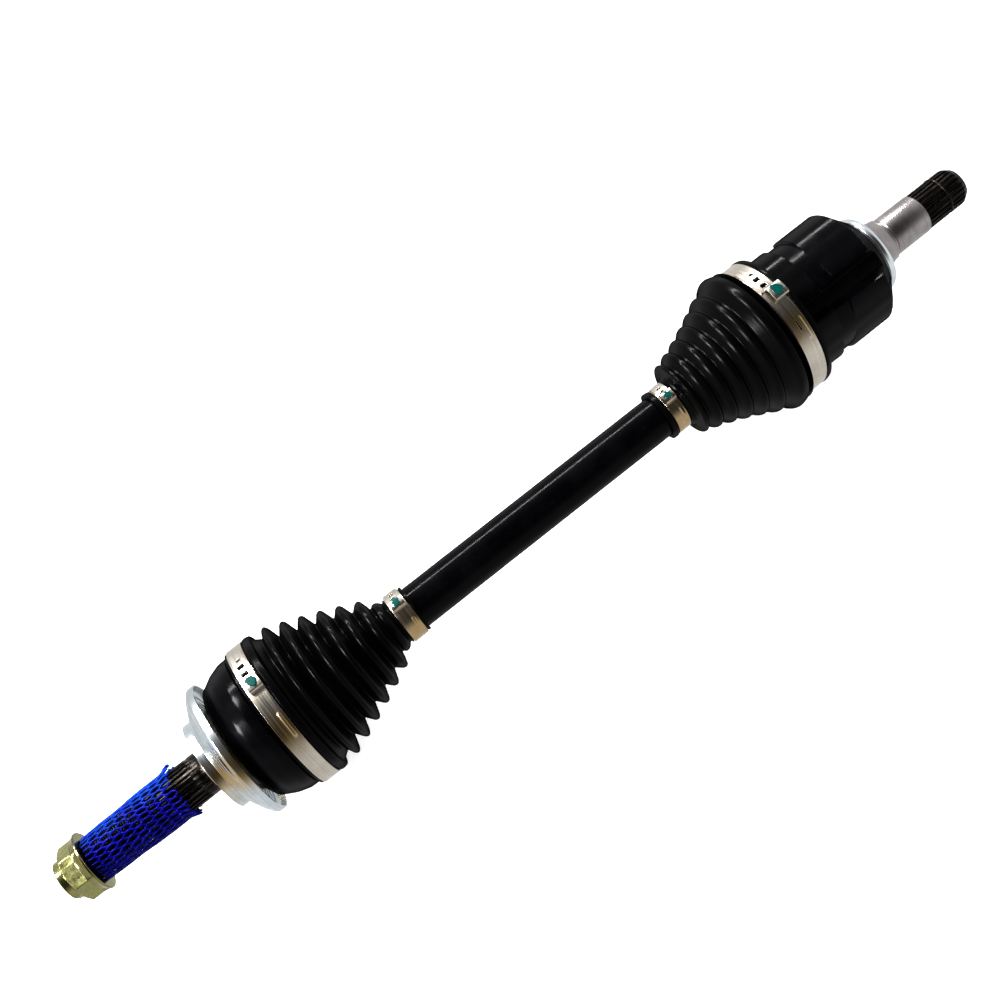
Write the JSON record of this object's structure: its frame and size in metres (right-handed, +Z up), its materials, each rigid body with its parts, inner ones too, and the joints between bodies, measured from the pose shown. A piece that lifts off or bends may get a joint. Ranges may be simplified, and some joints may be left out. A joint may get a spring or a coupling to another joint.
{
  "type": "cv axle",
  "caption": "Front-wheel drive shaft with a ball joint at the wheel end, a tripod plunging joint at the gearbox end, ribbed boots, clamps and a hub nut.",
  "frame": {"origin": "mid-length of the axle on its centreline, which is the centre of its bounding box", "axes": "+X along the axle towards the gearbox end, -X towards the wheel end, +Z up when the axle lies with its clamp ears on top"},
  "size_m": [0.65, 0.0922, 0.0922],
  "materials": {
    "black_paint": "gloss black paint",
    "rubber": "satin moulded rubber",
    "bare_steel": "ground steel",
    "hard_steel": "polished hardened steel",
    "bright_zinc": "bright zinc plate",
    "yellow_zinc": "yellow zinc plate",
    "band_steel": "rolled stainless strip",
    "blue_net": "soft plastic net"
  },
  "bodies": {
    "shaft": {"axle_shaft": "black_paint", "inner_race": "bare_steel", "race_snap_ring": "hard_steel", "outer_boot_small_clamp": "band_steel", "inner_boot_small_clamp": "band_steel", "tripod_spider": "bare_steel", "spider_stop_ring": "hard_steel", "spider_snap_ring": "hard_steel", "needle_set_1": "hard_steel", "needle_set_2": "hard_steel", "needle_set_3": "hard_steel", "roller_retainer_1": "hard_steel", "roller_retainer_2": "hard_steel", "roller_retainer_3": "hard_steel"},
    "outer_joint": {"outer_joint_housing": "black_paint", "dust_shield": "bright_zinc", "hub_nut": "yellow_zinc", "thread_sleeve": "blue_net", "outer_boot": "rubber", "outer_boot_large_clamp": "band_steel"},
    "cage": {"ball_cage": "hard_steel", "ball_1": "hard_steel", "ball_2": "hard_steel", "ball_3": "hard_steel", "ball_4": "hard_steel", "ball_5": "hard_steel", "ball_6": "hard_steel"},
    "inner_boot": {"inner_boot": "rubber"},
    "inner_joint": {"tripod_housing": "black_paint", "inner_boot_large_clamp": "band_steel", "seal_shield": "bright_zinc", "stub_circlip": "hard_steel"},
    "roller_1": {"roller_1": "hard_steel"},
    "roller_2": {"roller_2": "hard_steel"},
    "roller_3": {"roller_3": "hard_steel"}
  },
  "joints": [
    {"name": "outer_steer", "type": "hinge", "parent": "shaft", "child": "outer_joint", "pos_m": [-0.186, 0, 0], "axis": [0, 0, 1], "range_deg": [-42, 42], "deforming": ["outer_boot"]},
    {"name": "cage_follow", "type": "hinge", "parent": "shaft", "child": "cage", "pos_m": [-0.186, 0, 0], "axis": [0, 0, 1], "range_deg": [-21, 21]},
    {"name": "inner_tilt", "type": "hinge", "parent": "shaft", "child": "inner_boot", "pos_m": [0.204, 0, 0], "axis": [0, 1, 0], "range_deg": [-18, 18], "deforming": ["inner_boot"]},
    {"name": "inner_plunge", "type": "slide", "parent": "inner_boot", "child": "inner_joint", "axis": [1, 0, 0], "range_m": [-0.014, 0.015]},
    {"name": "roller_1_spin", "type": "hinge", "parent": "shaft", "child": "roller_1", "pos_m": [0.204, 0, 0], "axis": [0, 0.766, 0.6428], "range_deg": [-60, 60]},
    {"name": "roller_2_spin", "type": "hinge", "parent": "shaft", "child": "roller_2", "pos_m": [0.204, 0, 0], "axis": [0, 0.1736, -0.9848], "range_deg": [-60, 60]},
    {"name": "roller_3_spin", "type": "hinge", "parent": "shaft", "child": "roller_3", "pos_m": [0.204, 0, 0], "axis": [0, -0.9397, 0.342], "range_deg": [-60, 60]}
  ],
  "couplings": [
    {"joint": "cage_follow", "follows": "outer_steer", "ratio": 0.5},
    {"joint": "roller_1_spin", "follows": "inner_plunge", "rad_per_m": 62.5},
    {"joint": "roller_2_spin", "follows": "inner_plunge", "rad_per_m": 62.5},
    {"joint": "roller_3_spin", "follows": "inner_plunge", "rad_per_m": 62.5}
  ]
}
